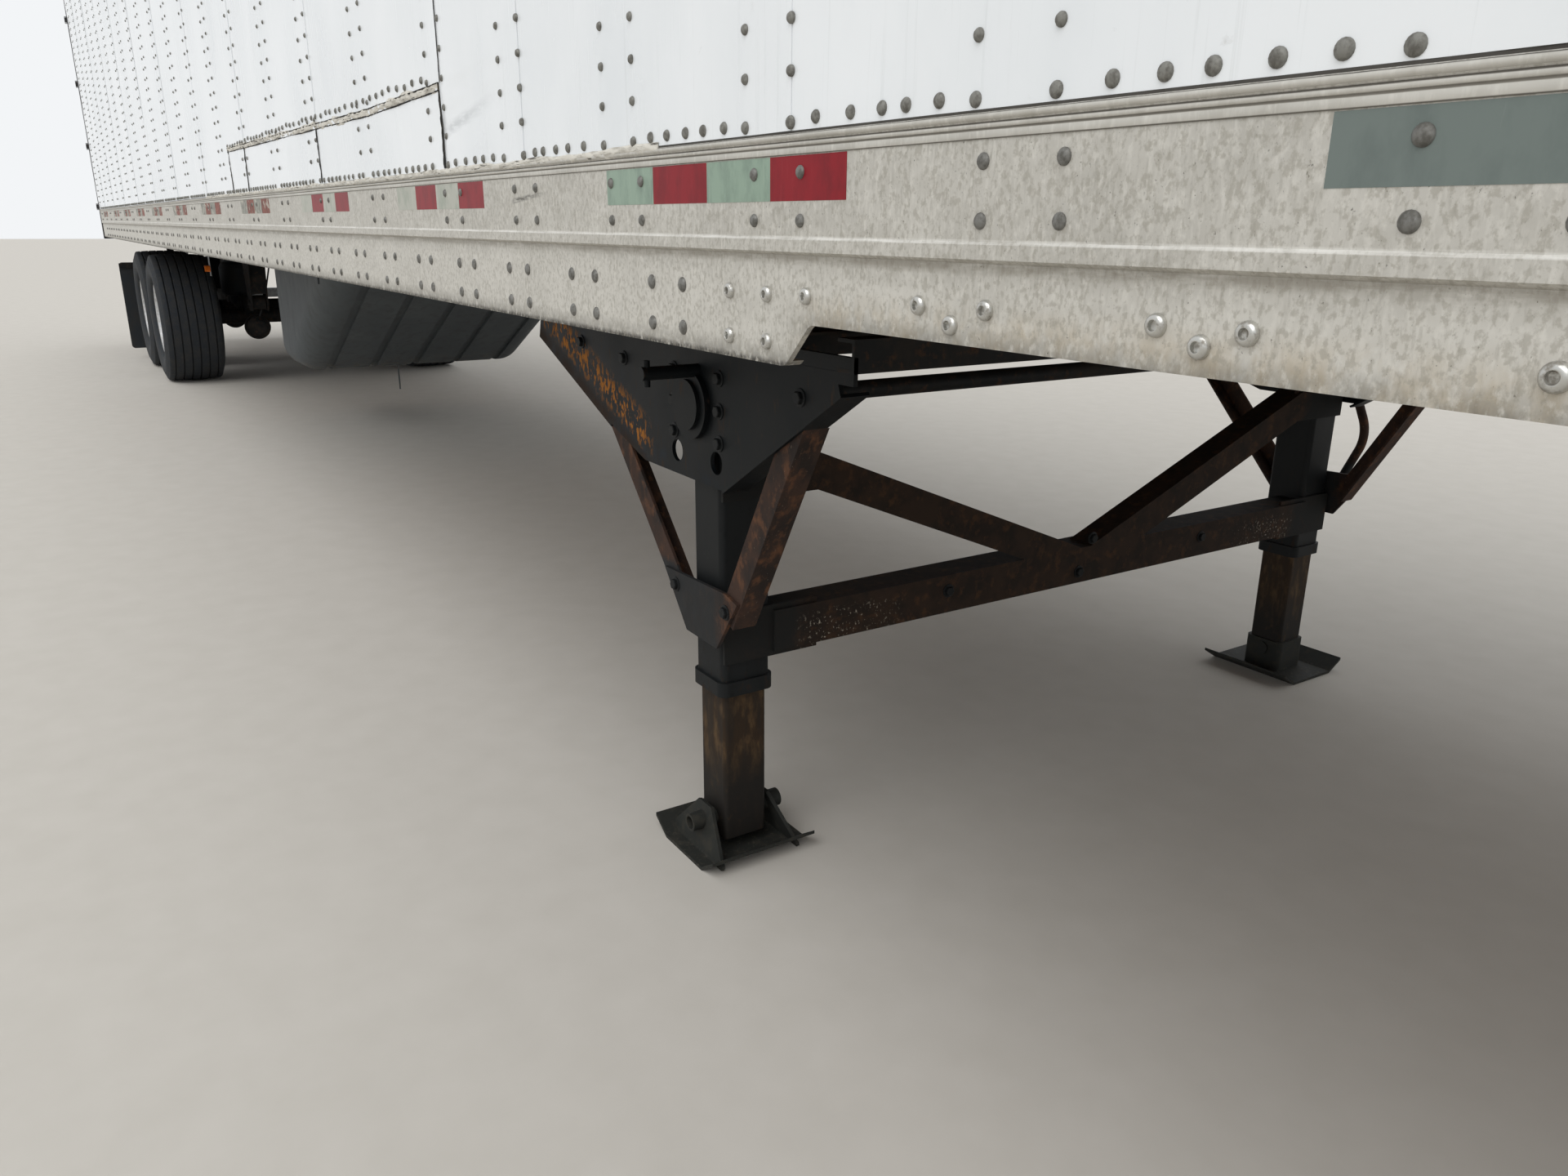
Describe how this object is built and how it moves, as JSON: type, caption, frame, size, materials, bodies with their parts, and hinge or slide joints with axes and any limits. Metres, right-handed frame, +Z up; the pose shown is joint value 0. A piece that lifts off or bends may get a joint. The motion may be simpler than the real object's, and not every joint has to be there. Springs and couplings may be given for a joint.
{
  "type": "semi trailer",
  "caption": "Dry van semi trailer with sheet-and-post body, swing rear doors, sliding air-ride tandem on wide-base tyres, braced landing gear and a moulded under-floor air fairing.",
  "frame": {"origin": "on the ground under the middle of the outline", "axes": "+X towards the nose, +Y to the left side, +Z up"},
  "size_m": [16.274, 2.627, 4.115],
  "materials": {
    "white_skin": "glossy white coil paint, weathered",
    "mill_aluminium": "weathered mill finish",
    "galvanised": "galvanised, dull",
    "black_steel": "worn black paint with rust",
    "kingpin_steel": "greased forged steel",
    "hardwood": "oiled laminated boards",
    "rubber": "matte black",
    "tyre": "dusty tread",
    "rim_aluminium": "forged, satin",
    "grey_plastic": "moulded, matte",
    "amber_plastic": "clear amber lens",
    "red_plastic": "clear red lens",
    "connector_metal": "cast couplings"
  },
  "bodies": {
    "chassis": {"aero_tray": "grey_plastic", "air_couplings": "connector_metal", "air_springs": "rubber", "air_tank": "black_steel", "axles": "black_steel", "bogie_frame": "black_steel", "bottom_rail_left": "mill_aluminium", "bottom_rail_right": "mill_aluminium", "brake_chambers": "black_steel", "crank_handle": "black_steel", "cross_brace": "black_steel", "crossmembers": "galvanised", "dock_bumpers": "rubber", "flap_brackets": "galvanised", "floor_deck": "hardwood", "gear_covers": "black_steel", "gear_shaft": "black_steel", "kingpin": "kingpin_steel", "lamp_brackets": "galvanised", "leg_braces": "black_steel", "leg_frame": "black_steel", "leg_rams": "black_steel", "leg_shoe_left": "black_steel", "leg_shoe_right": "black_steel", "leg_tubes": "black_steel", "mud_flaps": "rubber", "nose_corners": "mill_aluminium", "nose_wall": "white_skin", "power_socket": "mill_aluminium", "rear_header": "galvanised", "rear_posts": "galvanised", "rear_sill": "galvanised", "roof": "white_skin", "side_lamps": "amber_plastic", "side_wall_left": "white_skin", "side_wall_right": "white_skin", "slider_rails": "black_steel", "tail_lamps": "red_plastic", "top_rails": "mill_aluminium", "trailing_arms": "black_steel", "underride_guard": "galvanised", "upper_coupler": "black_steel", "wing_plates": "black_steel"},
    "wheel_front_right": {"tyre_front_right": "tyre", "wheel_front_right": "rim_aluminium"},
    "wheel_front_left": {"tyre_front_left": "tyre", "wheel_front_left": "rim_aluminium"},
    "wheel_rear_right": {"tyre_rear_right": "tyre", "wheel_rear_right": "rim_aluminium"},
    "wheel_rear_left": {"tyre_rear_left": "tyre", "wheel_rear_left": "rim_aluminium"},
    "door_right": {"door_right": "white_skin", "door_hardware_right": "galvanised"},
    "door_left": {"door_left": "white_skin", "door_hardware_left": "galvanised"}
  },
  "joints": [
    {"name": "front_right_wheel_spin", "type": "hinge", "parent": "chassis", "child": "wheel_front_right", "pos_m": [-4.48, -0.995, 0.513], "axis": [0, 1, 0], "continuous": true},
    {"name": "front_left_wheel_spin", "type": "hinge", "parent": "chassis", "child": "wheel_front_left", "pos_m": [-4.48, 0.995, 0.513], "axis": [0, 1, 0], "continuous": true},
    {"name": "rear_right_wheel_spin", "type": "hinge", "parent": "chassis", "child": "wheel_rear_right", "pos_m": [-5.725, -0.995, 0.513], "axis": [0, 1, 0], "continuous": true},
    {"name": "rear_left_wheel_spin", "type": "hinge", "parent": "chassis", "child": "wheel_rear_left", "pos_m": [-5.725, 0.995, 0.513], "axis": [0, 1, 0], "continuous": true},
    {"name": "right_door_hinge", "type": "hinge", "parent": "chassis", "child": "door_right", "pos_m": [-8.117, -1.3015, 2.61], "axis": [0, 0, 1], "range_deg": [0, 270]},
    {"name": "left_door_hinge", "type": "hinge", "parent": "chassis", "child": "door_left", "pos_m": [-8.117, 1.3015, 2.61], "axis": [0, 0, -1], "range_deg": [0, 270]}
  ]
}
